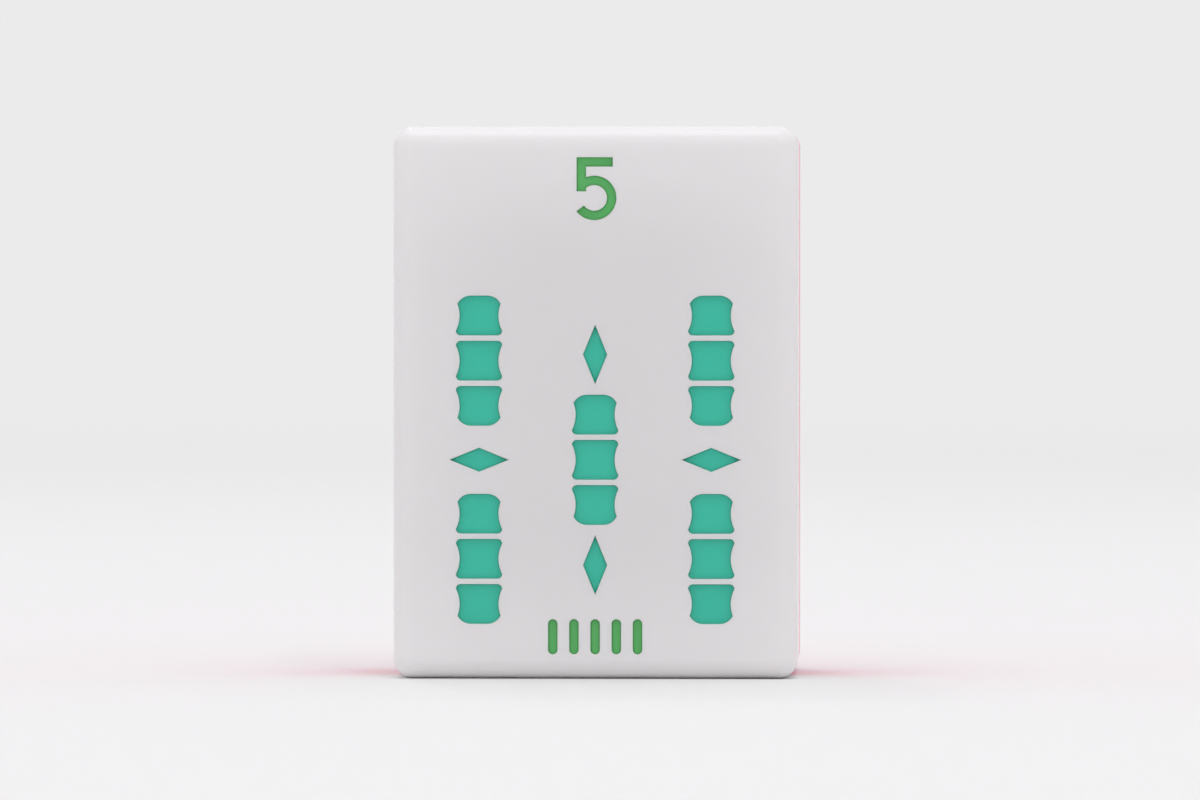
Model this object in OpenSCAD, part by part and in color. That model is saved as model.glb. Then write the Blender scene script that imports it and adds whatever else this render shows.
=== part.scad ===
// Mahjong tile, the five of bamboos, standing on its foot with its face towards -Y.
// It is laminated from a white face, a crimson layer, a pink layer, a printed sheet and a clear back.
// The design is engraved into the face, and each pocket has a thin pool of enamel on its floor.
// Millimetres. The origin is under the middle of the tile, on the surface that it stands on.

/* [Tile] */
// Width of the tile, along X
tile_w = 22; // [19:0.5:30]
// Height of the tile as it stands, along Z
tile_h = 30; // [26:0.5:40]
// Thickness of the tile from its face to its back, along Y
tile_t = 17; // [15:0.5:22]
// Radius of the four long corners that run from the face to the back
corner_r = 1.1; // [0.6:0.1:2]
// Radius of the rounded rim around the face, no larger than the long corners
face_rim_r = 1.1; // [0.3:0.05:1.5]

/* [Layers] */
// Thickness of the crimson layer
crimson_t = 3.8; // [1:0.1:6]
// Thickness of the pink layer
pink_t = 3.4; // [1:0.1:6]
// Thickness of the printed sheet between the pink layer and the clear back
sheet_t = 0.15; // [0.1:0.05:0.4]
// Thickness of the clear back layer
clear_t = 4; // [3:0.1:6]
// How far the rounded rim of the clear back reaches in over the back
back_rim_in = 2.2; // [1:0.1:3]
// How far the rounded rim of the clear back reaches down the sides
back_rim_down = 1.5; // [0.8:0.1:2.5]
// How far the sides of the clear back draw in before they turn over
clear_draw = 0.2; // [0.05:0.05:0.6]
// Straight wall of the clear back beside the printed sheet
clear_wall = 0.3; // [0.1:0.1:0.5]

/* [Engraving] */
// Depth of the engraved pockets in the face
pocket_depth = 0.45; // [0.3:0.05:1]
// Thickness of the enamel on the floor of each pocket
enamel_t = 0.2; // [0.05:0.05:0.25]

/* [Bamboo canes] */
// Distance from the top of the tile to the canes
canes_top = 9.2; // [8.6:0.1:10]
// Distance from the bottom of the tile to the canes
canes_foot = 3; // [2:0.1:4]
// Distance from each side of the tile to the outer canes
canes_side = 3.45; // [2.5:0.05:4]
// Space between the two canes of a column, where a lozenge lies
column_gap = 3.7; // [2.5:0.1:4.5]
// Width of a cane at its knuckles
cane_w = 2.5; // [1.8:0.1:3]
// Gap between the three joints of a cane
knuckle_gap = 0.3; // [0.2:0.05:0.5]
// How far the sides of each joint draw in between the knuckles
waist_draw = 0.2; // [0.05:0.05:0.3]
// Radius of the small corners at the knuckles
knuckle_r = 0.25; // [0.1:0.05:0.4]
// Radius of the corners at the two ends of a cane
cane_end_r = 0.8; // [0.4:0.05:0.85]

/* [Lozenges] */
// Width of a lozenge
lozenge_w = 1.3; // [0.6:0.05:1.5]
// Space between the middle cane and the lozenge above or below it
lozenge_gap = 0.6; // [0.3:0.1:1]
// How far that lozenge stays below the top, or above the bottom, of the outer canes
lozenge_inset = 1.6; // [1:0.1:2.2]

/* [Numeral] */
// Height of the numeral
numeral_h = 3.4; // [3:0.1:4]
// Width of the numeral
numeral_w = 2.3; // [2.2:0.1:3]
// Width of the strokes of the numeral and of the tally marks
stroke_w = 0.5; // [0.3:0.05:0.6]
// Radius of the numeral's bowl, along the middle of its stroke
bowl_r = 0.95; // [0.8:0.05:1]
// Distance from the top of the tile to the top of the numeral
numeral_margin = 1.7; // [1.2:0.1:2]

/* [Tally marks] */
// Number of tally marks at the foot of the face
tally_count = 5; // [1:1:7]
// Height of a tally mark
tally_h = 1.9; // [1.2:0.1:2.2]
// Distance from one tally mark to the next
tally_pitch = 1.15; // [0.9:0.05:1.4]
// Distance from the bottom of the tile to the tally marks
tally_margin = 1.35; // [1.2:0.05:1.6]

/* [Hidden] */
$fn = 72;
// Sides of the circles that the blended clear back is drawn from
blend_fn = 40;
// How far a cut runs past the surface that it opens
overrun = 0.5;

// The white face layer takes what the other layers leave of the thickness
face_t = tile_t - crimson_t - pink_t - sheet_t - clear_t;
core_w = tile_w - 2 * corner_r;
core_h = tile_h - 2 * corner_r;
// Depth of each seam behind the face
crimson_seam = face_t + crimson_t;
pink_seam = crimson_seam + pink_t;
sheet_seam = pink_seam + sheet_t;

// Height of the block of canes, and its middle above the middle of the tile
block_h = tile_h - canes_top - canes_foot;
block_y = (canes_foot - canes_top) / 2;

// Length of a cane and of its joints, and the circle that hollows the sides of a joint
joints = 3;
cane_len = (block_h - column_gap) / 2;
joint_len = (cane_len - (joints - 1) * knuckle_gap) / joints;
waist_half = joint_len / 2 - knuckle_r;
waist_r = (waist_half * waist_half + waist_draw * waist_draw) / (2 * waist_draw);

// Middle of each cane from the middle of the tile: two above, one between and two below
column_x = (tile_w - cane_w) / 2 - canes_side;
row_y = (cane_len + column_gap) / 2;
cane_places = [
    [-column_x, block_y + row_y],
    [column_x, block_y + row_y],
    [0, block_y],
    [-column_x, block_y - row_y],
    [column_x, block_y - row_y]
];

// Length of a lozenge, then the middle and turn of each: two in the middle column and one in each other
lozenge_len = (block_h - cane_len) / 2 - lozenge_gap - lozenge_inset;
lozenge_rise = (cane_len + lozenge_len) / 2 + lozenge_gap;
lozenge_places = [
    [0, block_y + lozenge_rise, 90],
    [0, block_y - lozenge_rise, 90],
    [-column_x, block_y, 0],
    [column_x, block_y, 0]
];

// Middle of the numeral, and where its bowl begins and ends, counted from the right
numeral_y = tile_h / 2 - numeral_margin - numeral_h / 2;
bowl_start = 140;
bowl_end = 217;
bowl_centre = [numeral_w / 2 - stroke_w / 2 - bowl_r, bowl_r + stroke_w / 2 - numeral_h / 2];

tally_y = tally_margin + tally_h / 2 - tile_h / 2;

LAYERS = ["face_layer", "crimson_layer", "pink_layer", "printed_sheet", "clear_back"];
CANES = [for (i = [1 : len(cane_places)]) str("cane_enamel_", i)];
LOZENGES = [for (i = [1 : len(lozenge_places)]) str("lozenge_enamel_", i)];
TALLIES = [for (i = [1 : tally_count]) str("tally_enamel_", i)];

WHITE = "#e6e4e5";
CRIMSON = "#e1014b";
PINK = "#ee6ea6";
PRINT = "#f08fb4";
CLEAR = [0.9, 0.96, 0.96, 0.35];
TEAL = "#36bca0";
GREEN = "#5aab62";

// Placing on the tile: z is 0 on the face and grows out of it, x and y run over it from its middle
module on_face() {
    translate([0, -tile_t / 2, tile_h / 2]) rotate([90, 0, 0]) children();
}

// Section across a layer that lies on y = 0, with its two upper corners rounded
module rim_section(width, depth, rim_r) {
    r = min(rim_r, corner_r);
    translate([-width / 2, 0]) square([width, depth - r]);
    if (r > 0) for (side = [-1, 1]) translate([side * (width / 2 - r), depth - r]) circle(r);
    if (r > 0 && 2 * r < width) translate([r - width / 2, 0]) square([width - 2 * r, depth]);
}

// One layer lying on z = 0: two crossed bars and a round post in each corner, all with the same rim
module layer(depth, rim_r = 0) {
    rotate([90, 0, 0]) linear_extrude(core_h, center = true) rim_section(tile_w, depth, rim_r);
    rotate([90, 0, 90]) linear_extrude(core_w, center = true) rim_section(tile_h, depth, rim_r);
    for (x = [-core_w / 2, core_w / 2], y = [-core_h / 2, core_h / 2])
        translate([x, y, 0]) post(depth, rim_r);
}

module post(depth, rim_r) {
    rotate_extrude() intersection() {
        rim_section(2 * corner_r, depth, rim_r);
        square([2 * corner_r, depth]);
    }
}

// Dome of unit radius, which reaches its full size at the top and at the sides
module unit_dome() {
    rotate_extrude() intersection() {
        circle(1);
        square(1);
    }
}

// Bar standing upright, with one radius for its two lower corners and one for its two upper corners
module round_bar(w, h, low_r, high_r) {
    translate([-w / 2, low_r - h / 2]) square([w, h - low_r - high_r]);
    translate([low_r - w / 2, -h / 2]) square([w - 2 * low_r, low_r]);
    translate([high_r - w / 2, h / 2 - high_r]) square([w - 2 * high_r, high_r]);
    for (side = [-1, 1]) {
        translate([side * (w / 2 - low_r), low_r - h / 2]) circle(low_r);
        translate([side * (w / 2 - high_r), h / 2 - high_r]) circle(high_r);
    }
}

// A bamboo cane of three joints, each drawn in at its sides between the knuckles
module cane_outline() {
    for (i = [0 : joints - 1]) {
        low_r = i == 0 ? cane_end_r : knuckle_r;
        high_r = i == joints - 1 ? cane_end_r : knuckle_r;
        translate([0, (i - (joints - 1) / 2) * (joint_len + knuckle_gap)]) difference() {
            round_bar(cane_w, joint_len, low_r, high_r);
            for (side = [-1, 1]) translate([side * (cane_w / 2 + waist_r - waist_draw), 0]) circle(waist_r);
        }
    }
}

module lozenge_outline() {
    polygon([[-lozenge_len / 2, 0], [0, -lozenge_w / 2], [lozenge_len / 2, 0], [0, lozenge_w / 2]]);
}

// The figure 5: a bar, a stem and a round bowl that is open on its left
module numeral_outline() {
    left = bowl_centre.x - bowl_r;
    top = numeral_h / 2;
    stem_foot = bowl_centre.y + bowl_r * sin(bowl_start) - stroke_w / 2;
    translate([left, top - stroke_w]) square([bowl_r - left, stroke_w]);
    translate([left, stem_foot]) square([stroke_w, top - stem_foot]);
    translate(bowl_centre) difference() {
        circle(bowl_r + stroke_w / 2);
        circle(bowl_r - stroke_w / 2);
        polygon([[0, 0], for (a = [bowl_start, (bowl_start + bowl_end) / 2, bowl_end])
            2 * bowl_r * [cos(a), sin(a)]]);
    }
}

module tally_outline() {
    straight = tally_h - stroke_w;
    translate([-stroke_w / 2, -straight / 2]) square([stroke_w, straight]);
    for (side = [-1, 1]) translate([0, side * straight / 2]) circle(d = stroke_w);
}

// Each motif at its place on the face
module cane_at(i) {
    translate(cane_places[i]) cane_outline();
}

module lozenge_at(i) {
    place = lozenge_places[i];
    translate([place.x, place.y]) rotate(place.z) lozenge_outline();
}

module numeral_at() {
    translate([0, numeral_y]) numeral_outline();
}

module tally_at(i) {
    translate([(i - (tally_count - 1) / 2) * tally_pitch, tally_y]) tally_outline();
}

module whole_design() {
    numeral_at();
    for (i = [0 : len(cane_places) - 1]) cane_at(i);
    for (i = [0 : len(lozenge_places) - 1]) lozenge_at(i);
    for (i = [0 : tally_count - 1]) tally_at(i);
}

// A pool of enamel that fills an engraved outline from the pocket's floor up to enamel_t
module enamel() {
    on_face() translate([0, 0, -pocket_depth]) linear_extrude(enamel_t) children();
}

module face_layer() {
    color(WHITE) on_face() difference() {
        translate([0, 0, -face_t]) layer(face_t, face_rim_r);
        translate([0, 0, -pocket_depth]) linear_extrude(pocket_depth + overrun) whole_design();
    }
}

module crimson_layer() {
    color(CRIMSON) on_face() translate([0, 0, -crimson_seam]) layer(crimson_t);
}

module pink_layer() {
    color(PINK) on_face() translate([0, 0, -pink_seam]) layer(pink_t);
}

module printed_sheet() {
    color(PRINT) on_face() translate([0, 0, -sheet_seam]) layer(sheet_t);
}

// The clear back draws in a little from the printed sheet and then turns over in a wide rim
module clear_back() {
    reach_x = tile_w / 2 - clear_draw - back_rim_in;
    reach_y = tile_h / 2 - clear_draw - back_rim_in;
    color(CLEAR) on_face() translate([0, 0, -sheet_seam]) mirror([0, 0, 1]) hull($fn = blend_fn) {
        for (x = [-core_w / 2, core_w / 2], y = [-core_h / 2, core_h / 2])
            translate([x, y, 0]) cylinder(h = clear_wall, r = corner_r);
        for (x = [-reach_x, reach_x], y = [-reach_y, reach_y])
            translate([x, y, clear_t - back_rim_down])
                scale([back_rim_in, back_rim_in, back_rim_down]) unit_dome();
    }
}

module numeral_enamel() {
    color(GREEN) enamel() numeral_at();
}

module cane_enamel(i) {
    color(TEAL) enamel() cane_at(i);
}

module lozenge_enamel(i) {
    color(TEAL) enamel() lozenge_at(i);
}

module tally_enamel(i) {
    color(GREEN) enamel() tally_at(i);
}

face_layer();
crimson_layer();
pink_layer();
printed_sheet();
clear_back();
numeral_enamel();
for (i = [0 : len(CANES) - 1]) cane_enamel(i);
for (i = [0 : len(LOZENGES) - 1]) lozenge_enamel(i);
for (i = [0 : len(TALLIES) - 1]) tally_enamel(i);
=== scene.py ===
# %% [markdown]
# # A laminated mahjong tile
#
# The real tile is a block of acrylic, 22 mm wide, 30 mm high and 17 mm thick. Five sheets are bonded into a
# plank, sawn into blocks and tumbled until the corners are round: white, crimson, pink, a printed film and
# clear. The white face is then engraved, and the pockets are filled with enamel.
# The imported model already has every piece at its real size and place. This lesson builds each piece again as
# a finer mesh in the same place, gives it a finish, and lights it like a product photograph.

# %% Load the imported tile
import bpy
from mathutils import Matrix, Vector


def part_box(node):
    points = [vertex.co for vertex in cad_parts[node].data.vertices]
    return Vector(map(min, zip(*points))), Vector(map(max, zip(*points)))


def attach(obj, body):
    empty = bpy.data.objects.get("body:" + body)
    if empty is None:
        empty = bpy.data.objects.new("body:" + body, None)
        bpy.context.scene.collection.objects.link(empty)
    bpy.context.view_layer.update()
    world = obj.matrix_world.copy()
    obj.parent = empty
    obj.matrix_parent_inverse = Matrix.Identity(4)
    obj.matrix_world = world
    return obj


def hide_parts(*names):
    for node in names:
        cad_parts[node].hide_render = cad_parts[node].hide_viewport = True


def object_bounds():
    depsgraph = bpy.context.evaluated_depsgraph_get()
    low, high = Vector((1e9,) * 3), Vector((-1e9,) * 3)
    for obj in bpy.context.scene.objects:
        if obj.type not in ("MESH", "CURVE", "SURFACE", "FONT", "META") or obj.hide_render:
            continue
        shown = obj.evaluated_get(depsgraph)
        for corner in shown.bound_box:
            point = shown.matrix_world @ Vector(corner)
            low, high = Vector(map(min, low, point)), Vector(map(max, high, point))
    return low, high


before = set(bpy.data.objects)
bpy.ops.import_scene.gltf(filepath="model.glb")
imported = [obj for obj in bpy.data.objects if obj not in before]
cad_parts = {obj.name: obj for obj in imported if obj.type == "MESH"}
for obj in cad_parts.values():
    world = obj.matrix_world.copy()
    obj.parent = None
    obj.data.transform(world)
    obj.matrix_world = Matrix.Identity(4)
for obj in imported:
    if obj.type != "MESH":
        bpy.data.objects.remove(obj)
cad_low, cad_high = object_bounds()
print("tile from", cad_low[:], "to", cad_high[:], "with", len(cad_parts), "nodes")

# %% Python's and Blender's own tools
import math

import bmesh
import bpy
from mathutils import Matrix, Vector

# %% [markdown]
# ## Sizes
#
# Blender measures in metres, so a named millimetre keeps the numbers readable. Wherever the frame knows a
# size, it is read from the frame, because a number typed twice sooner or later disagrees with itself.

# %% Seams, centre and the level of the enamel
MM = 0.001
FACE_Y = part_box("face_layer")[0].y
CRIMSON_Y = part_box("crimson_layer")[0].y
PINK_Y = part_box("pink_layer")[0].y
FILM_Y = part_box("printed_sheet")[0].y
CLEAR_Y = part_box("clear_back")[0].y
BACK_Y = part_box("clear_back")[1].y
ENAMEL_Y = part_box("numeral_enamel")[0].y
POCKET_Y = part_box("numeral_enamel")[1].y
CENTRE = (cad_low + cad_high) / 2
HALF = (cad_high - cad_low) / 2
print("seams at", [round(y / MM, 2) for y in (FACE_Y, CRIMSON_Y, PINK_Y, FILM_Y, CLEAR_Y, BACK_Y)], "mm")

# %% Sizes that a box can't tell
CORNER_R = 1.1 * MM
BACK_RIM_IN = 2.2 * MM
BACK_RIM_DOWN = 1.5 * MM
CLEAR_DRAW = 0.2 * MM
CLEAR_WALL = 0.3 * MM
ARC_STEPS = 10
TOUCH = 0.001 * MM

# %% [markdown]
# ## Small helpers
#
# A bmesh is a scratch pad for a mesh: operators such as bevel and extrude work on it without any clicking.
# Every piece ends the same way, so one function turns the scratch pad into an object, shades it smooth, and
# tells the frame which body it rides on, which nodes it stands for and which finish it has.
# A Weighted Normal modifier lets the big flats keep their own normals, so that a rounded edge runs into a
# flat without a false shadow. It is what an artist would press after bevelling a hard model.
# Many operators return vertices, edges and faces in one list. Two helpers pick out what the next step needs.

# %% Turn a bmesh into a piece of the tile
SHARP = math.radians(32)


def make_piece(bm, name, nodes, materials, sharp=SHARP):
    """Finish a bmesh as an object that rides on the tile and stands for its CAD nodes."""
    bmesh.ops.remove_doubles(bm, verts=bm.verts, dist=TOUCH)
    bmesh.ops.recalc_face_normals(bm, faces=bm.faces)
    for face in bm.faces:
        face.smooth = True
    mesh = bpy.data.meshes.new(name)
    bm.to_mesh(mesh)
    bm.free()
    mesh.set_sharp_from_angle(angle=sharp)
    for material in materials:
        mesh.materials.append(material)
    piece = bpy.data.objects.new(name, mesh)
    bpy.context.collection.objects.link(piece)
    normals = piece.modifiers.new("even flats", "WEIGHTED_NORMAL")
    normals.keep_sharp = True
    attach(piece, "root")
    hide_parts(*nodes)
    print(name, "has", len(mesh.polygons), "faces")


# %% Pick out what an operator made
def verts_of(parts):
    """The vertices among these parts."""
    return [part for part in parts if isinstance(part, bmesh.types.BMVert)]


def open_edges_of(parts):
    """The edges among these parts that have a face on one side only."""
    return [part for part in parts if isinstance(part, bmesh.types.BMEdge) and part.is_boundary]


# %% Draw one upright rounded bar as a single face
def stand_up(low, high, y):
    """The matrix that stands a flat shape of size 1 up at a depth, to look along -Y from low to high."""
    centre, size = (low + high) / 2, high - low
    place = Matrix.Translation((centre.x, y, centre.z))
    stretch = Matrix.Diagonal((size.x, 1, size.z, 1))
    return place @ stretch @ Matrix.Rotation(math.radians(90), 4, "X")


def draw_bar(bm, low, high, y, low_r, high_r):
    """One face that looks along -Y, from low to high in X and Z, with its corners rounded."""
    grid = bmesh.ops.create_grid(bm, x_segments=1, y_segments=1, size=0.5, matrix=stand_up(low, high, y))
    for radius, level in ((low_r, low.z), (high_r, high.z)):
        picked = [v for v in grid["verts"] if v.is_valid and abs(v.co.z - level) < TOUCH]
        rounded = bmesh.ops.bevel(bm, geom=picked, offset=radius, offset_type="OFFSET", segments=ARC_STEPS,
                                  profile=0.5, affect="VERTICES", material=-1)
    return rounded["verts"][0].link_faces[0]


# %% [markdown]
# ## The coloured layers
#
# The crimson and pink layers are plain slices of the tumbled block: a rounded rectangle, pushed back by the
# thickness of the sheet. A bevelled plane that is extruded once gives exactly that, with the same corner
# radius on every slice, so the seams stay flush all round.

# %% Extrude a slice between two seams
def draw_slice(bm, near_y, far_y, shrink=0):
    """A slice of the tumbled block between two depths, smaller all round by shrink."""
    reach = Vector((HALF.x - shrink, 0, HALF.z - shrink))
    front = draw_bar(bm, CENTRE - reach, CENTRE + reach, near_y, CORNER_R - shrink, CORNER_R - shrink)
    pushed = bmesh.ops.extrude_face_region(bm, geom=[front], use_keep_orig=True)["geom"]
    bmesh.ops.translate(bm, verts=verts_of(pushed), vec=(0, far_y - near_y, 0))


# %% [markdown]
# ## The white face layer
#
# This slice ends in the rounded rim around the face, so it starts as a cube whose four long edges and four
# front edges are bevelled with the same radius. Where three of them meet, bevel makes a neat ball corner.
# An inset then leaves a narrow flat border inside the rim. The shading turns from round to flat within that
# border, and the rest of the face is shaded dead flat.

# %% Bevel the white block
FLAT_BORDER = 0.15 * MM


def bevelled_block(bm, near_y, far_y):
    """A block with round long corners and a round front rim. Returns its flat front face."""
    size = Vector((2 * HALF.x, far_y - near_y, 2 * HALF.z))
    place = Matrix.Translation((CENTRE.x, (near_y + far_y) / 2, CENTRE.z))
    bmesh.ops.create_cube(bm, size=1, matrix=place @ Matrix.Diagonal((*size, 1)))
    back = [e for e in bm.edges if all(abs(v.co.y - far_y) < TOUCH for v in e.verts)]
    rims = [e for e in bm.edges if e not in back]
    bmesh.ops.bevel(bm, geom=rims, offset=CORNER_R, offset_type="OFFSET", segments=ARC_STEPS,
                    profile=0.5, affect="EDGES", material=-1)
    flat = max(bm.faces, key=lambda face: -face.normal.y * face.calc_area())
    bmesh.ops.inset_region(bm, faces=[flat], thickness=FLAT_BORDER, depth=0, use_even_offset=True)
    return flat


# %% [markdown]
# ## The engraved motifs
#
# The face shows the five of bamboos: five jointed canes, four lozenges between them, the numeral and a row
# of tally marks. Each motif is drawn twice, once as a pocket in the face and once as the pool of enamel in
# it, so each has a drawing function that lays a flat face at any depth.
# Text or a traced curve would also do for the numeral. Drawing it with a few corners and two arcs keeps the
# stroke exactly as wide as the cutter.

# %% A bamboo cane of three joints
KNUCKLE_GAP = 0.3 * MM
KNUCKLE_R = 0.25 * MM
CANE_END_R = 0.8 * MM
WAIST_DRAW = 0.2 * MM
WAIST_CUTS = 12
JOINTS = 3


def draw_waist(bm, face, centre, size):
    """Draw in the sides of one joint along a circle, as bamboo narrows between its knuckles."""
    sides = [e for e in face.edges if abs(e.verts[0].co.x - e.verts[1].co.x) < TOUCH]
    bmesh.ops.subdivide_edges(bm, edges=sides, cuts=WAIST_CUTS, use_only_quads=True)
    half_len = size.z / 2 - KNUCKLE_R
    radius = (half_len**2 + WAIST_DRAW**2) / (2 * WAIST_DRAW)
    for v in face.verts:
        rise, out = v.co.z - centre.z, v.co.x - centre.x
        if abs(rise) < half_len:
            most = size.x / 2 + radius - WAIST_DRAW - math.sqrt(radius**2 - rise**2)
            v.co.x = centre.x + max(-most, min(most, out))


def draw_cane(bm, low, high, y):
    """The joints of a cane, one above the other. The outer ends are rounder than the knuckles."""
    joint_len = (high.z - low.z - (JOINTS - 1) * KNUCKLE_GAP) / JOINTS
    for i in range(JOINTS):
        foot = Vector((low.x, 0, low.z + i * (joint_len + KNUCKLE_GAP)))
        top = Vector((high.x, 0, foot.z + joint_len))
        low_r = CANE_END_R if i == 0 else KNUCKLE_R
        high_r = CANE_END_R if i == JOINTS - 1 else KNUCKLE_R
        face = draw_bar(bm, foot, top, y, low_r, high_r)
        draw_waist(bm, face, (foot + top) / 2, top - foot)


# %% A lozenge, which is a circle of four corners
def draw_lozenge(bm, low, high, y):
    bmesh.ops.create_circle(bm, cap_ends=True, segments=4, radius=0.5, matrix=stand_up(low, high, y))


# %% A tally mark, which is a bar with round ends
def draw_tally(bm, low, high, y):
    end_r = (high.x - low.x) / 2
    draw_bar(bm, low, high, y, end_r, end_r)


# %% The numeral five
STROKE = 0.5 * MM
BOWL_R = 0.95 * MM
BOWL_START = math.radians(140)
BOWL_END = math.radians(217)
BOWL_STEPS = 40


def draw_numeral(bm, low, high, y):
    """A bar, a stem and an open bowl, as one outline that is walked once round."""
    half = STROKE / 2
    bowl = Vector((high.x - half - BOWL_R, y, low.z + BOWL_R + half))
    left, outer, inner = bowl.x - BOWL_R, BOWL_R + half, BOWL_R - half
    inside = left + STROKE
    bar_end = CENTRE.x + BOWL_R
    outer_start = math.acos((inside - bowl.x) / outer)
    inner_start = math.acos((inside - bowl.x) / inner)
    stem_foot = bowl.z + BOWL_R * math.sin(BOWL_START) - half

    def corner(x, z):
        return bm.verts.new((x, y, z))

    def on_bowl(radius, angle):
        return corner(bowl.x + radius * math.cos(angle), bowl.z + radius * math.sin(angle))

    def swing(start, angle):
        arc = bmesh.ops.spin(bm, geom=[start], cent=bowl, axis=(0, 1, 0), angle=angle, steps=BOWL_STEPS)
        return verts_of(arc["geom_last"])[0]

    top = [corner(inside, high.z - STROKE), corner(bar_end, high.z - STROKE), corner(bar_end, high.z),
           corner(left, high.z), corner(left, stem_foot), corner(inside, stem_foot)]
    outer_top = on_bowl(outer, outer_start)
    outer_end = swing(outer_top, outer_start + math.tau - BOWL_END)
    inner_top = on_bowl(inner, inner_start)
    inner_end = swing(inner_top, inner_start + math.tau - BOWL_END)
    walk = [outer_top, *top, inner_top]
    for a, b in zip(walk, walk[1:]):
        bm.edges.new((a, b))
    bm.edges.new((outer_end, inner_end))
    outline = [e for e in bm.edges if e.is_wire]
    bmesh.ops.edgenet_fill(bm, edges=outline)


# %% Lay down any motif by the name of its node
MOTIFS = {"cane": draw_cane, "lozenge": draw_lozenge, "tally": draw_tally, "numeral": draw_numeral}
ENAMEL_NODES = sorted(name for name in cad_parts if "_enamel" in name)


def draw_motif(bm, node, y):
    """Draw one node's motif at a depth, and return its faces, which all look out of the tile."""
    before = set(bm.faces)
    low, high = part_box(node)
    MOTIFS[node.split("_")[0]](bm, low, high, y)
    bmesh.ops.remove_doubles(bm, verts=bm.verts, dist=TOUCH)
    drawn = [f for f in bm.faces if f not in before]
    bm.normal_update()
    bmesh.ops.reverse_faces(bm, faces=[f for f in drawn if f.normal.y > 0])
    return drawn


print(len(ENAMEL_NODES), "motifs:", ", ".join(ENAMEL_NODES))

# %% [markdown]
# ## Nodes for the finishes
#
# A finish is a small graph of shader nodes. Colours are written as the hex codes that a paint program shows
# and turned to the linear light that Cycles works in. One function adds a node: it sets what is a number,
# links what is a socket and lays down the stops of a colour ramp, so a material reads as a list of what
# feeds what.

# %% Colours and nodes
def linear(code):
    """The linear RGBA colour of an sRGB hex code."""
    shares = [int(code[i:i + 2], 16) / 255 for i in (1, 3, 5)]
    return [s / 12.92 if s <= 0.04045 else ((s + 0.055) / 1.055)**2.4 for s in shares] + [1]


def add(tree, kind, sockets=None, stops=(), **settings):
    """Add a node, set its options and its colour stops, then set or link inputs, by name or by number."""
    made = tree.nodes.new("ShaderNode" + kind)
    for option, value in settings.items():
        setattr(made, option, value)
    for place, code in stops[1:-1]:
        made.color_ramp.elements.new(place)
    for i, (place, code) in enumerate(stops):
        made.color_ramp.elements[i].position = place
        made.color_ramp.elements[i].color = linear(code)
    for socket, value in (sockets or {}).items():
        if isinstance(value, bpy.types.NodeSocket):
            tree.links.new(value, made.inputs[socket])
        else:
            made.inputs[socket].default_value = value
    return made


# %% The start and the end of a material
def new_material(name):
    """An empty material, its node tree and the position on the tile, in metres."""
    material = bpy.data.materials.new(name)
    material.use_nodes = True
    material.node_tree.nodes.clear()
    place = add(material.node_tree, "TexCoord").outputs["Object"]
    return material, material.node_tree, place


def show(material, shader):
    """Put this shader on the surface, and print how many nodes the finish took."""
    add(material.node_tree, "OutputMaterial", {"Surface": shader.outputs[0]})
    print(material.name, "has", len(material.node_tree.nodes), "nodes")


# %% [markdown]
# ## The polish of tumbled acrylic
#
# Tumbling leaves acrylic glossy but never optically flat. The surface rolls by a few thousandths of a
# millimetre, play leaves soft smears, and hairline scratches run in every direction. The rolls go into a
# bump, and the smears and scratches into the roughness. A real hairline is a hundredth of a millimetre wide,
# which no pixel would show, so these are drawn a few times as coarse.

# %% Rolls
ACRYLIC_IOR = 1.49
ROLL = 2.5 * MM
BUMP_H = 0.01 * MM


def rolled(tree, place, strength):
    """The normal of a surface that is not quite flat."""
    rolls = add(tree, "TexNoise", {"Vector": place, "Scale": 1 / ROLL, "Detail": 1})
    bump = add(tree, "Bump", {"Height": rolls.outputs["Fac"], "Strength": strength, "Distance": BUMP_H})
    return bump.outputs[0]


# %% Smears and hairlines
SMEAR = 4 * MM
SMEAR_FROM, SMEAR_TO = 0.35, 0.75
POLISHED, RUBBED = 0.12, 0.2
HAIRLINE_W = 0.04 * MM
HAIRLINE_LEN = 4 * MM
HAIRLINE_FROM, HAIRLINE_TO = 0.7, 0.8
HAIRLINE_LEANS = ((-32, 40), (28, 127))
HAIRLINE_ROUGH = 0.05


def hairlines(tree, place, lean, turn):
    """Noise squeezed into thin sheets that lean and turn by degrees. Every side cuts them as fine lines."""
    angles = (0, math.radians(lean), math.radians(turn))
    squeeze = (HAIRLINE_W, HAIRLINE_LEN, HAIRLINE_LEN)
    squeezed = add(tree, "Mapping", {"Vector": place, "Rotation": angles, "Scale": squeeze},
                   vector_type="TEXTURE")
    noise = add(tree, "TexNoise", {"Vector": squeezed.outputs[0], "Scale": 1, "Detail": 0})
    lines = add(tree, "MapRange", {"Value": noise.outputs["Fac"], "From Min": HAIRLINE_FROM,
                                   "From Max": HAIRLINE_TO})
    return lines.outputs[0]


def polish(tree, place):
    """The roughness and the normal of handled, tumbled acrylic."""
    smears = add(tree, "TexNoise", {"Vector": place, "Scale": 1 / SMEAR, "Detail": 3})
    rough = add(tree, "MapRange", {"Value": smears.outputs["Fac"], "From Min": SMEAR_FROM,
                                   "From Max": SMEAR_TO, "To Min": POLISHED, "To Max": RUBBED})
    one_way, other_way = (hairlines(tree, place, lean, turn) for lean, turn in HAIRLINE_LEANS)
    lines = add(tree, "Math", {0: one_way, 1: other_way}, operation="MAXIMUM")
    worn = add(tree, "Math", {0: lines.outputs[0], 1: HAIRLINE_ROUGH, 2: rough.outputs[0]},
               operation="MULTIPLY_ADD")
    return {"Roughness": worn.outputs[0], "Normal": rolled(tree, place, strength=0.5)}


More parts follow.
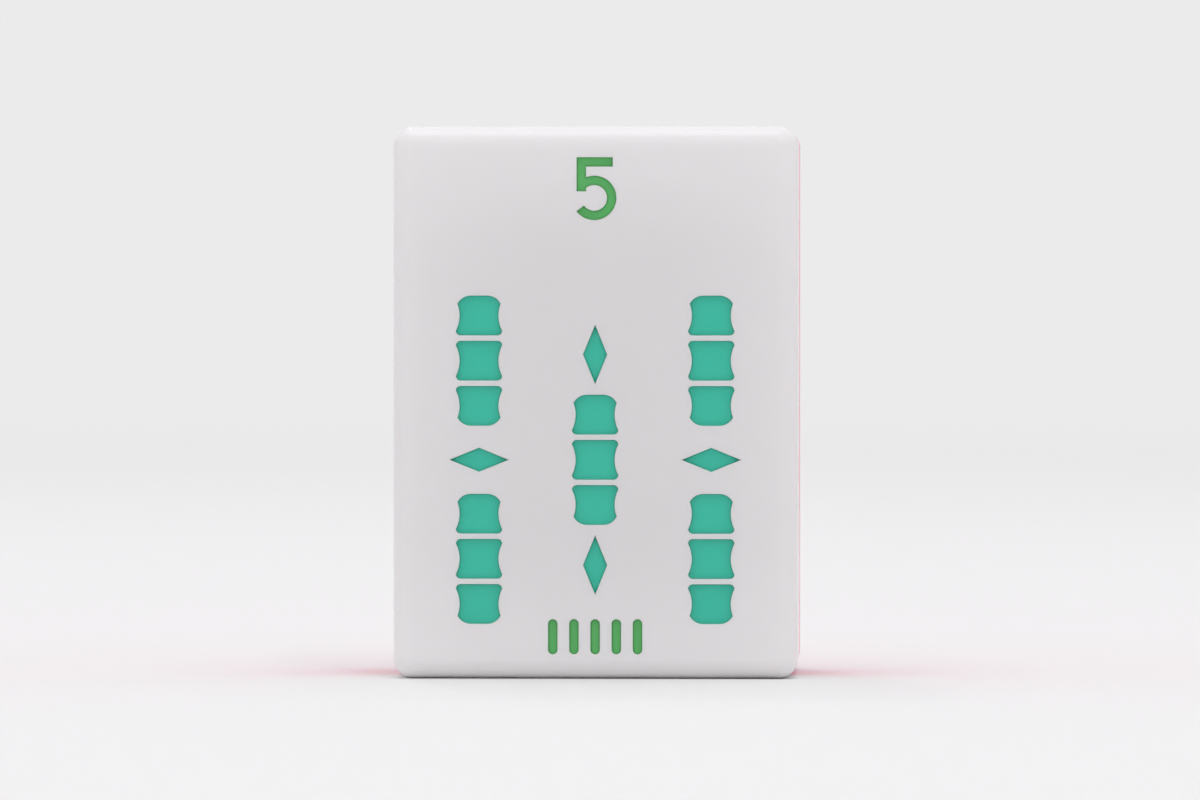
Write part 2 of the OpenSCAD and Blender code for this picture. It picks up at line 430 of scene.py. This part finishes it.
# %% [markdown]
# ## Cast acrylic sheets
#
# The white, crimson and pink sheets are cast with their colour right through and pass a little light. It
# comes in at the sides and most of all at the ends of the tile and makes them glow, while the middle of a
# flat is deeper. That glow is painted light: the colour itself is painted lighter towards the outside. Where a
# side meets an end, the crimson and the pink pale further, a painted highlight for the reflection in the round
# corner.
# Light also crosses the seams: next to crimson the white blushes, and the blush dies away with depth, as
# light always does in a dyed material, by the same share for each step. That is an exponential, so the
# shader uses one, and paints the blush into the colour as painted light.
# Scattering alone would leave all this to chance, so the colour nodes lay it down and a little subsurface
# scattering only softens the edges.

# %% One function for the three opaque sheets
GLOW = 9 * MM
SIDE_GLOW = 0.5
SCATTER_SHARE = 0.25
SCATTER_REACH = 0.8 * MM


def nearness(tree, coordinate, middle, half):
    """0 deep inside and 1 on the outside of the tile, along one axis."""
    off = add(tree, "Math", {0: coordinate, 1: middle}, operation="SUBTRACT")
    reach = add(tree, "Math", {0: off.outputs[0]}, operation="ABSOLUTE")
    near = add(tree, "MapRange", {"Value": reach.outputs[0], "From Min": half - GLOW, "From Max": half})
    return add(tree, "Math", {0: near.outputs[0], 1: 2}, operation="POWER").outputs[0]


def cast_acrylic(name, glow_stops, seam_y, seam_light_code, seam_light_reach, spread, gloss):
    """Dyed acrylic with painted light: lighter towards the outside, and tinted near one of its seams by
    painted seam light.
    """
    material, tree, place = new_material(name)
    xyz = add(tree, "SeparateXYZ", {0: place})
    side = nearness(tree, xyz.outputs["X"], CENTRE.x, HALF.x)
    end = nearness(tree, xyz.outputs["Z"], CENTRE.z, HALF.z)
    both = add(tree, "Math", {0: side, 1: SIDE_GLOW, 2: end}, operation="MULTIPLY_ADD")
    glow = add(tree, "Math", {0: both.outputs[0], 1: 1 + SIDE_GLOW}, operation="DIVIDE")
    # The glow ramp is painted light: lighter towards the sides and ends, palest at the round corners.
    painted_glow = add(tree, "ValToRGB", {"Fac": glow.outputs[0]}, stops=glow_stops).outputs[0]
    # Painted seam light: a tint of the neighbouring sheet's colour that dies away with depth from the seam.
    depth = add(tree, "Math", {0: xyz.outputs["Y"], 1: seam_y}, operation="SUBTRACT")
    distance = add(tree, "Math", {0: depth.outputs[0]}, operation="ABSOLUTE")
    decay = add(tree, "Math", {0: distance.outputs[0], 1: -seam_light_reach}, operation="DIVIDE")
    seam_light = add(tree, "Math", {0: decay.outputs[0]}, operation="EXPONENT").outputs[0]
    colour = add(tree, "Mix", {0: seam_light, 6: painted_glow, 7: linear(seam_light_code)}, data_type="RGBA").outputs[2]
    body = add(tree, "BsdfPrincipled", {"Base Color": colour, "IOR": ACRYLIC_IOR,
                                        "Specular IOR Level": gloss, "Subsurface Weight": SCATTER_SHARE,
                                        "Subsurface Radius": spread, "Subsurface Scale": SCATTER_REACH,
                                        **polish(tree, place)})
    show(material, body)
    return material


# %% White, crimson and pink
# Each ramp runs from the middle of a flat out to the ends: painted glow, and for crimson and pink a last
# painted highlight for the reflection on the round corners.
white = cast_acrylic("opal_white_acrylic", [(0, "#e5e3e4"), (0.33, "#eeeced"), (0.67, "#f2f0f1")],
                     seam_y=CRIMSON_Y, seam_light_code="#ff7f92", seam_light_reach=0.65 * MM,
                     spread=(1.0, 0.9, 0.85), gloss=0.5)
crimson = cast_acrylic("crimson_dyed_acrylic",
                       [(0, "#ec004b"), (0.33, "#f4004f"), (0.67, "#ff0662"), (1, "#ff3c82")],
                       seam_y=CRIMSON_Y, seam_light_code="#fa1060", seam_light_reach=0.4 * MM,
                       spread=(1.5, 0.1, 0.4), gloss=0.12)
pink = cast_acrylic("pink_dyed_acrylic",
                    [(0, "#fb76ab"), (0.33, "#ff7eb2"), (0.67, "#ff8cbc"), (1, "#ffa2ca")],
                    seam_y=PINK_Y, seam_light_code="#ff5a98", seam_light_reach=0.5 * MM,
                    spread=(1.3, 0.6, 0.8), gloss=0.25)

# %% [markdown]
# ## Enamel
#
# Engraving enamel is a thick glossy paint that is wiped into the pockets and wiped off the face. It shrinks
# as it dries, so it clings to the walls and sags in the middle. Along the walls its colour is painted darker:
# partly the deeper colour of the thicker film, partly painted shade from the walls of the pocket. The pool's
# mesh carries that as an attribute named climb.

# %% Teal and green enamel
ENAMEL_IOR = 1.5
PEEL = 0.25 * MM
PEEL_STRENGTH = 0.5
ENAMEL_SMOOTH, ENAMEL_ROUGH = 0.25, 0.45


def enamel(name, colour, shade):
    """Glossy paint with a faint orange peel, painted darker where it climbs the wall: thick film and painted
    shade.
    """
    material, tree, place = new_material(name)
    climb = add(tree, "Attribute", attribute_name="climb").outputs["Fac"]
    tint = add(tree, "ValToRGB", {"Fac": climb}, stops=[(0, colour), (1, shade)]).outputs[0]
    peel = add(tree, "TexNoise", {"Vector": place, "Scale": 1 / PEEL, "Detail": 2}).outputs["Fac"]
    bump = add(tree, "Bump", {"Height": peel, "Strength": PEEL_STRENGTH, "Distance": BUMP_H})
    rough = add(tree, "MapRange", {"Value": peel, "To Min": ENAMEL_SMOOTH, "To Max": ENAMEL_ROUGH})
    body = add(tree, "BsdfPrincipled", {"Base Color": tint, "IOR": ENAMEL_IOR,
                                        "Roughness": rough.outputs[0], "Normal": bump.outputs[0]})
    show(material, body)
    return material


# The second colour is the darker wall colour of each enamel: thicker paint and painted shade.
teal = enamel("teal_engraving_enamel", "#33c5aa", "#259c85")
green = enamel("green_engraving_enamel", "#60c26c", "#459c52")

# %% [markdown]
# ## Clear acrylic
#
# The back sheet is water clear, so its finish is a plain refracting shader with the index of acrylic, 1.49.
# Cycles can't aim a lamp through a refracting surface, and the print below would stay dark. For rays that
# come from lamps or bounce between dull surfaces the sheet is therefore transparent, while the camera still
# sees it bend light. That keeps the print as bright as under real acrylic, and free of grain.

# %% The clear finish
CLEAR_TINT = linear("#fdfefe")
CLEAR_ROUGH = 0.015
clear, tree, place = new_material("polished_clear_acrylic")
lens = add(tree, "BsdfPrincipled", {"Base Color": CLEAR_TINT, "Roughness": CLEAR_ROUGH, "IOR": ACRYLIC_IOR,
                                    "Transmission Weight": 1, "Normal": rolled(tree, place, strength=0.3)})
passed = add(tree, "BsdfTransparent", {"Color": CLEAR_TINT})
path = add(tree, "LightPath")
unseen = add(tree, "Math", {0: path.outputs["Is Shadow Ray"], 1: path.outputs["Is Diffuse Ray"]},
             operation="MAXIMUM")
show(clear, add(tree, "MixShader", {0: unseen.outputs[0], 1: lens.outputs[0], 2: passed.outputs[0]}))

# %% [markdown]
# ## The printed film
#
# Under the clear sheet lies a white film with a pattern of tumbling blocks, an old quilt pattern, in pinks.
# Each block is a hexagon of three rhombuses. Shader math finds the hexagon that a point is in: two grids of
# rectangles, set half a step apart, hold the middles of all the hexagons, and the nearer middle wins.
# Cutting the pattern into the mesh would also work, but the ink would then need hundreds of faces.

# %% Find the block around each point
BLOCK_W = 2.8 * MM
ROOT_3 = math.sqrt(3)
PITCH = (1, 1, ROOT_3)
ink, tree, place = new_material("printed_pink_ink")
flat = add(tree, "VectorMath", {0: place, 1: (1, 0, 1)}, operation="MULTIPLY").outputs[0]
point = add(tree, "VectorMath", {0: flat, 1: (BLOCK_W, 1, BLOCK_W)}, operation="DIVIDE").outputs[0]


def middle_near(shift):
    """The middle of the hexagon nearest to the point, on the grid of rectangles that is moved by shift."""
    moved = add(tree, "VectorMath", {0: point, 1: shift}, operation="SUBTRACT")
    cell = add(tree, "VectorMath", {0: moved.outputs[0], 1: PITCH}, operation="DIVIDE")
    lifted = add(tree, "VectorMath", {0: cell.outputs[0], 1: (0.5, 0.5, 0.5)})
    whole = add(tree, "VectorMath", {0: lifted.outputs[0]}, operation="FLOOR")
    found = add(tree, "VectorMath", {0: whole.outputs[0], 1: PITCH, 2: shift}, operation="MULTIPLY_ADD")
    return found.outputs[0]


middles = [middle_near((0, 0, 0)), middle_near((0.5, 0, ROOT_3 / 2))]
reaches = [add(tree, "VectorMath", {0: point, 1: m}, operation="DISTANCE").outputs["Value"] for m in middles]
second = add(tree, "Math", {0: reaches[1], 1: reaches[0]}, operation="LESS_THAN").outputs[0]
middle = add(tree, "Mix", {0: second, 4: middles[0], 5: middles[1]}, data_type="VECTOR").outputs[1]
from_middle = add(tree, "VectorMath", {0: point, 1: middle}, operation="SUBTRACT").outputs[0]
local = add(tree, "SeparateXYZ", {0: from_middle})
home = add(tree, "SeparateXYZ", {0: middle})
print("finding the block takes", len(tree.nodes), "nodes")

# %% [markdown]
# The point is on the top rhombus where it lies above both upper arms of the block, and otherwise on the left
# or the right one. Neighbouring blocks never share a shade if the shades go round in threes along the rows,
# so one number from 0 to 8 names both the side and the shade, and a stepped ramp turns it into ink.

# %% Choose the ink of each rhombus
# The rows are the top, the left and the right rhombus of a block.
INKS = ["#ffb2c8", "#fed2d8", "#ff90b4",
        "#ff74c4", "#ff9ac0", "#ff84cc",
        "#ff0499", "#ff3c66", "#ff86a6"]
SHADES = 3
wide = add(tree, "Math", {0: local.outputs["X"]}, operation="ABSOLUTE").outputs[0]
arm = add(tree, "Math", {0: wide, 1: ROOT_3}, operation="DIVIDE").outputs[0]
on_top = add(tree, "Math", {0: local.outputs["Z"], 1: arm}, operation="GREATER_THAN").outputs[0]
on_right = add(tree, "Math", {0: local.outputs["X"], 1: 0}, operation="GREATER_THAN").outputs[0]
below = add(tree, "Math", {0: on_right, 1: 1}, operation="ADD").outputs[0]
side = add(tree, "Mix", {0: on_top, 2: below, 3: 0}, data_type="FLOAT").outputs[0]
slope = add(tree, "Math", {0: home.outputs["Z"], 1: -ROOT_3, 2: home.outputs["X"]}, operation="MULTIPLY_ADD")
rounded = add(tree, "Math", {0: slope.outputs[0]}, operation="ROUND").outputs[0]
shade = add(tree, "Math", {0: rounded, 1: SHADES}, operation="FLOORED_MODULO").outputs[0]
number = add(tree, "Math", {0: side, 1: SHADES, 2: shade}, operation="MULTIPLY_ADD").outputs[0]
lifted = add(tree, "Math", {0: number, 1: 0.5}, operation="ADD").outputs[0]
share = add(tree, "Math", {0: lifted, 1: len(INKS)}, operation="DIVIDE").outputs[0]
steps = [(i / len(INKS), code) for i, code in enumerate(INKS)]
inks = add(tree, "ValToRGB", {"Fac": share}, stops=steps)
inks.color_ramp.interpolation = "CONSTANT"
print(len(INKS), "inks in steps of", round(1 / len(INKS), 3))

# %% [markdown]
# Ink on film is never quite even: the dots of the screen leave a fine grain, and larger clouds come from the
# pressure of the roller. Both only lighten or darken the inks by a few hundredths.

# %% Grain and clouds in the ink
INK_IOR = 1.5
INK_ROUGH = 0.6
GRAIN = 0.12 * MM
CLOUD = 1.5 * MM
NOISE_SWING = 0.3
INK_SWING = 0.06
grain = add(tree, "TexNoise", {"Vector": place, "Scale": 1 / GRAIN, "Detail": 1}).outputs["Fac"]
cloud = add(tree, "TexNoise", {"Vector": place, "Scale": 1 / CLOUD, "Detail": 2}).outputs["Fac"]
both = add(tree, "Math", {0: grain, 1: cloud}, operation="ADD").outputs[0]
light = add(tree, "MapRange", {"Value": both, "From Min": 1 - NOISE_SWING, "From Max": 1 + NOISE_SWING,
                               "To Min": 1 - INK_SWING, "To Max": 1 + INK_SWING}).outputs[0]
printed = add(tree, "VectorMath", {0: inks.outputs[0], "Scale": light}, operation="SCALE").outputs[0]
show(ink, add(tree, "BsdfPrincipled", {"Base Color": printed, "Roughness": INK_ROUGH, "IOR": INK_IOR}))

# %% [markdown]
# The film itself is white polyester, which shows as a hair-thin line between the pink and the clear sheet.
# Its white is painted a little pinkish, as painted light from the pink around it, and it is uneven.

# %% The plain film
FILM_IOR = 1.6
FILM_ROUGH = 0.4
film, tree, place = new_material("white_polyester_film")
cloud = add(tree, "TexNoise", {"Vector": place, "Scale": 1 / CLOUD, "Detail": 2}).outputs["Fac"]
# The pink of the surroundings is painted into the film's white as painted light. The cloud only makes it
# uneven.
pale = add(tree, "ValToRGB", {"Fac": cloud}, stops=[(0, "#f6dde6"), (1, "#f9ecf0")]).outputs[0]
show(film, add(tree, "BsdfPrincipled", {"Base Color": pale, "Roughness": FILM_ROUGH, "IOR": FILM_IOR}))

# %% [markdown]
# ## The face layer as a mesh
#
# The pockets are cut with a trick: the flat front is deleted, the outlines of all the motifs are laid in the
# gap, and a triangle fill closes everything between them. A boolean would also cut the pockets, but the fill
# leaves exactly the edges that the next step needs. The outlines are pulled back to the pockets' floors,
# and the cutter's sharp rim is bevelled by a hair so that it catches the light. Edges past a small angle
# stay sharp here, or the shading of that bevel would leak into the long triangles of the flat.

# %% Engrave the face
POCKET_RIM = 0.05 * MM
POCKET_RIM_STEPS = 3
RIM_SHARP = math.radians(12)
bm = bmesh.new()
flat_front = bevelled_block(bm, FACE_Y, CRIMSON_Y)
border = list(flat_front.edges)
bmesh.ops.delete(bm, geom=[flat_front], context="FACES_ONLY")
motifs = [face for node in ENAMEL_NODES for face in draw_motif(bm, node, FACE_Y)]
outlines = list(dict.fromkeys(edge for face in motifs for edge in face.edges))
bmesh.ops.delete(bm, geom=motifs, context="FACES_ONLY")
bmesh.ops.triangle_fill(bm, edges=border + outlines, use_beauty=True, use_dissolve=False, normal=(0, -1, 0))
walls = bmesh.ops.extrude_edge_only(bm, edges=outlines)["geom"]
bmesh.ops.translate(bm, verts=verts_of(walls), vec=(0, POCKET_Y - FACE_Y, 0))
bmesh.ops.holes_fill(bm, edges=open_edges_of(walls), sides=0)
bmesh.ops.recalc_face_normals(bm, faces=bm.faces)
bmesh.ops.bevel(bm, geom=outlines, offset=POCKET_RIM, offset_type="OFFSET", segments=POCKET_RIM_STEPS,
                profile=0.5, affect="EDGES", material=-1)
make_piece(bm, "white_face", ["face_layer"], [white], sharp=RIM_SHARP)

# %% The crimson and pink slices
for name, node, near_y, far_y, slot, material in (
        ("crimson_slice", "crimson_layer", CRIMSON_Y, PINK_Y, "crimson_acrylic", crimson),
        ("pink_slice", "pink_layer", PINK_Y, FILM_Y, "pink_acrylic", pink)):
    bm = bmesh.new()
    draw_slice(bm, near_y, far_y)
    make_piece(bm, name, [node], [material])

# %% [markdown]
# ## The printed film as a mesh
#
# The film is bonded to the clear sheet with no air between them, so the camera sees the print through
# acrylic alone. If the two meshes only touched, rays would slip between them and meet air. The print is
# therefore sunk by a hair into the clear sheet, and drawn in by a hair from its sides.

# %% A thin slice with ink on one side
OVERLAP = 0.02 * MM
bm = bmesh.new()
draw_slice(bm, FILM_Y, CLEAR_Y + OVERLAP, shrink=OVERLAP)
for face in bm.faces:
    face.material_index = int(face.calc_center_median().y > CLEAR_Y)
make_piece(bm, "printed_film", ["printed_sheet"], [film, ink])

# %% [markdown]
# ## The clear back as a mesh
#
# Tumbling wears the clear back most: its sides draw in a little, and then turn over in a wide rim. A bevel
# would make that rim as high as it is wide, but this one is lower, like a quarter of an ellipse. So the flat
# back is inset in small steps, and each step also lifts it, by less and less.
# At the corners the sides lean in more than the ellipse does where it starts, and the two would meet in a
# dent. So the rim starts a few degrees up the ellipse, where it leans in as much as they do.

# %% Bridge the drawn-in sides, then inset the rim
RIM_STEPS = 12
RIM_START = math.radians(13)
RIM_END = math.radians(90)
RIM_LEFT = 0.05 * MM
angles = [RIM_START + (RIM_END - RIM_START) * i / RIM_STEPS for i in range(RIM_STEPS + 1)]
left = [max(BACK_RIM_IN * math.cos(angle), RIM_LEFT) for angle in angles]
lifts = [BACK_RIM_DOWN * math.sin(angle) for angle in angles]
bm = bmesh.new()
seam_reach = Vector((HALF.x, 0, HALF.z))
draw_in = CLEAR_DRAW + BACK_RIM_IN - left[0]
rim_reach = seam_reach - Vector((draw_in, 0, draw_in))
seam = draw_bar(bm, CENTRE - seam_reach, CENTRE + seam_reach, CLEAR_Y, CORNER_R, CORNER_R)
wall = bmesh.ops.extrude_face_region(bm, geom=[seam], use_keep_orig=True)["geom"]
bmesh.ops.translate(bm, verts=verts_of(wall), vec=(0, CLEAR_WALL, 0))
wall_top = next(part for part in wall if isinstance(part, bmesh.types.BMFace))
flat_back = draw_bar(bm, CENTRE - rim_reach, CENTRE + rim_reach, BACK_Y - BACK_RIM_DOWN + lifts[0],
                     left[0], left[0])
sides = list(wall_top.edges) + list(flat_back.edges)
bmesh.ops.delete(bm, geom=[wall_top], context="FACES_ONLY")
bmesh.ops.bridge_loops(bm, edges=sides)
for i in range(RIM_STEPS):
    bmesh.ops.inset_region(bm, faces=[flat_back], thickness=left[i] - left[i + 1],
                           depth=lifts[i] - lifts[i + 1], use_even_offset=True)
make_piece(bm, "clear_slab", ["clear_back"], [clear])

# %% [markdown]
# ## The pools of enamel as meshes
#
# The paint wets the walls of its pocket almost up to the face. So each pool starts as the flat outline of
# its motif near the face. A few insets, each one sunk into the pocket, make the curve by which the paint
# leaves the wall, and a skirt closes the pool down to the floor of its pocket. The skirt comes before the
# insets, because an inset moves the outline it starts from.

# %% Pour the enamel
# Each step has a width inwards, a drop into the pocket, and how much of the darker wall colour, thick paint
# and painted shade, is left there.
CLIMB_STEPS = [(0.008 * MM, 0.05 * MM, 0.9), (0.012 * MM, 0.05 * MM, 0.75), (0.015 * MM, 0.045 * MM, 0.5),
               (0.02 * MM, 0.025 * MM, 0.25), (0.025 * MM, 0.01 * MM, 0)]
PAINTS = {"cane": (teal, "teal_enamel"), "lozenge": (teal, "teal_enamel"),
          "numeral": (green, "green_enamel"), "tally": (green, "green_enamel")}
for node in ENAMEL_NODES:
    bm = bmesh.new()
    climb = bm.verts.layers.float.new("climb")
    pools = draw_motif(bm, node, ENAMEL_Y - sum(drop for _, drop, _ in CLIMB_STEPS))
    outline = list(dict.fromkeys(edge for face in pools for edge in face.edges))
    skirt = bmesh.ops.extrude_edge_only(bm, edges=outline)["geom"]
    for v in verts_of(skirt):
        v.co.y = POCKET_Y
    bmesh.ops.holes_fill(bm, edges=open_edges_of(skirt), sides=0)
    for v in bm.verts:
        v[climb] = 1
    for width, drop, share in CLIMB_STEPS:
        bmesh.ops.inset_region(bm, faces=pools, thickness=width, depth=-drop, use_even_offset=True)
        for v in {v for face in pools for v in face.verts}:
            v[climb] = share
    paint, slot = PAINTS[node.split("_")[0]]
    make_piece(bm, node + "_pool", [node], [paint])

# %% [markdown]
# ## A pale studio
#
# The tile stands in a shallow white dish, whose floor turns up into a wall without a corner. Seen from any
# side the background is then one smooth pale tone, and the wall gives the glossy edges something to mirror.
# Spinning one profile about the Z axis makes the dish.

# %% Spin the dish
FLOOR_R = 0.7
WALL_R = 1.1
WALL_H = 1.0
COVE_STEPS = 24
DISH_STEPS = 96
COVE_R = WALL_R - FLOOR_R
bm = bmesh.new()
centre_point = bm.verts.new((0, 0, 0))
floor_end = bm.verts.new((FLOOR_R, 0, 0))
cove = bmesh.ops.spin(bm, geom=[floor_end], cent=(FLOOR_R, 0, COVE_R), axis=(0, -1, 0),
                      angle=math.radians(90), steps=COVE_STEPS)
wall_foot = verts_of(cove["geom_last"])[0]
bm.edges.new((centre_point, floor_end))
bm.edges.new((wall_foot, bm.verts.new((WALL_R, 0, WALL_H))))
bmesh.ops.spin(bm, geom=bm.verts[:] + bm.edges[:], cent=(0, 0, 0), axis=(0, 0, 1), angle=math.tau,
               steps=DISH_STEPS, use_merge=True)
bmesh.ops.remove_doubles(bm, verts=bm.verts, dist=TOUCH)
bmesh.ops.recalc_face_normals(bm, faces=bm.faces)
for face in bm.faces:
    face.smooth = True
    if face.normal.z < 0 or face.normal.xy.dot(face.calc_center_median().xy) > TOUCH:
        face.normal_flip()
mesh = bpy.data.meshes.new("studio_dish")
bm.to_mesh(mesh)
bm.free()
dish = bpy.data.objects.new("studio_dish", mesh)
bpy.context.collection.objects.link(dish)
print("dish has", len(mesh.polygons), "faces")

# %% [markdown]
# The dish is matt white paper, with fibres under half a millimetre long. Further from the tile, what the
# camera sees of it fades into one even tone, directly, in a mirror or through the clear sheet. All other
# light still meets paper, so the tile keeps its shadow and its bounce.

# %% The paper, and the even tone further out
FIBRE = 0.4 * MM
PAPER_ROUGH = 0.85
PAPER_GLOSS = 0.2
FADE_FROM, FADE_TO = 0.15, 0.75
paper, tree, place = new_material("white_studio_paper")
fibres = add(tree, "TexNoise", {"Vector": place, "Scale": 1 / FIBRE, "Detail": 2}).outputs["Fac"]
tone = add(tree, "ValToRGB", {"Fac": fibres}, stops=[(0, "#f1f0f0"), (1, "#f3f2f2")]).outputs[0]
sheet = add(tree, "BsdfPrincipled", {"Base Color": tone, "Roughness": PAPER_ROUGH,
                                     "Specular IOR Level": PAPER_GLOSS})
backdrop = add(tree, "Emission", {"Color": linear("#ecebec"), "Strength": 1})
reach = add(tree, "VectorMath", {0: place}, operation="LENGTH").outputs["Value"]
far = add(tree, "MapRange", {"Value": reach, "From Min": FADE_FROM, "From Max": FADE_TO},
          interpolation_type="SMOOTHSTEP").outputs[0]
path = add(tree, "LightPath").outputs
seen = add(tree, "Math", {0: path["Is Camera Ray"], 1: path["Is Glossy Ray"]}, operation="MAXIMUM")
seen = add(tree, "Math", {0: seen.outputs[0], 1: path["Is Transmission Ray"]}, operation="MAXIMUM")
share = add(tree, "Math", {0: seen.outputs[0], 1: far}, operation="MULTIPLY").outputs[0]
show(paper, add(tree, "MixShader", {0: share, 1: sheet.outputs[0], 2: backdrop.outputs[0]}))
mesh.materials.append(paper)

# %% [markdown]
# ## Light
#
# The sky gives an even level from above the open dish. A wide softbox overhead makes the top of the tile the
# brightest side and draws the bright band along the top rim. Two small lamps, one before and one behind the
# tile, set the pinpoint sparkles on the round corners of the face and of the clear back.

# %% Sky
SKY_STRENGTH = 0.96
world = bpy.data.worlds.new("even_sky")
world.use_nodes = True
sky = world.node_tree.nodes["Background"]
sky.inputs["Color"].default_value = linear("#fdfdff")
sky.inputs["Strength"].default_value = SKY_STRENGTH
bpy.context.scene.world = world
print("sky strength", SKY_STRENGTH)


# %% Softbox and sparkle lamps
def add_softbox(name, place, width, watts):
    """A square white area lamp that looks at the middle of the tile."""
    lamp = bpy.data.lights.new(name, "AREA")
    lamp.size = width
    lamp.energy = watts
    box = bpy.data.objects.new(name, lamp)
    box.location = place
    box.rotation_euler = (CENTRE - Vector(place)).to_track_quat("-Z", "Y").to_euler()
    bpy.context.collection.objects.link(box)
    print(name, "gives", watts, "W")


add_softbox("overhead_softbox", place=(0, -0.1, 0.8), width=0.5, watts=0.9)
add_softbox("front_sparkle", place=(0.12, -0.35, 0.5), width=0.03, watts=0.15)
add_softbox("back_sparkle", place=(-0.12, 0.35, 0.5), width=0.03, watts=0.15)

# %% [markdown]
# ## Camera
#
# The photograph was taken from half a metre away, almost level with the tile and a little to its right. The
# distance sets the perspective, so it stays, and a long lens brings the small tile closer.

# %% The camera
DISTANCE = 0.5
AZIMUTH = math.radians(1.8)
ELEVATION = math.radians(1.0)
FRAME_W, FRAME_H = 1200, 800
TILE_SHARE = 0.68
SENSOR = 36
shown_w = 2 * HALF.z / TILE_SHARE * FRAME_W / FRAME_H
lens_data = bpy.data.cameras.new("long_lens")
lens_data.sensor_width = SENSOR
lens_data.lens = SENSOR * DISTANCE / shown_w
camera = bpy.data.objects.new("camera", lens_data)
away = Vector((math.sin(AZIMUTH) * math.cos(ELEVATION), -math.cos(AZIMUTH) * math.cos(ELEVATION),
               math.sin(ELEVATION)))
camera.location = CENTRE + away * DISTANCE
camera.rotation_euler = (-away).to_track_quat("-Z", "Y").to_euler()
bpy.context.collection.objects.link(camera)
bpy.context.scene.camera = camera
bpy.context.scene.view_settings.view_transform = "Standard"
print("lens", round(lens_data.lens), "mm")
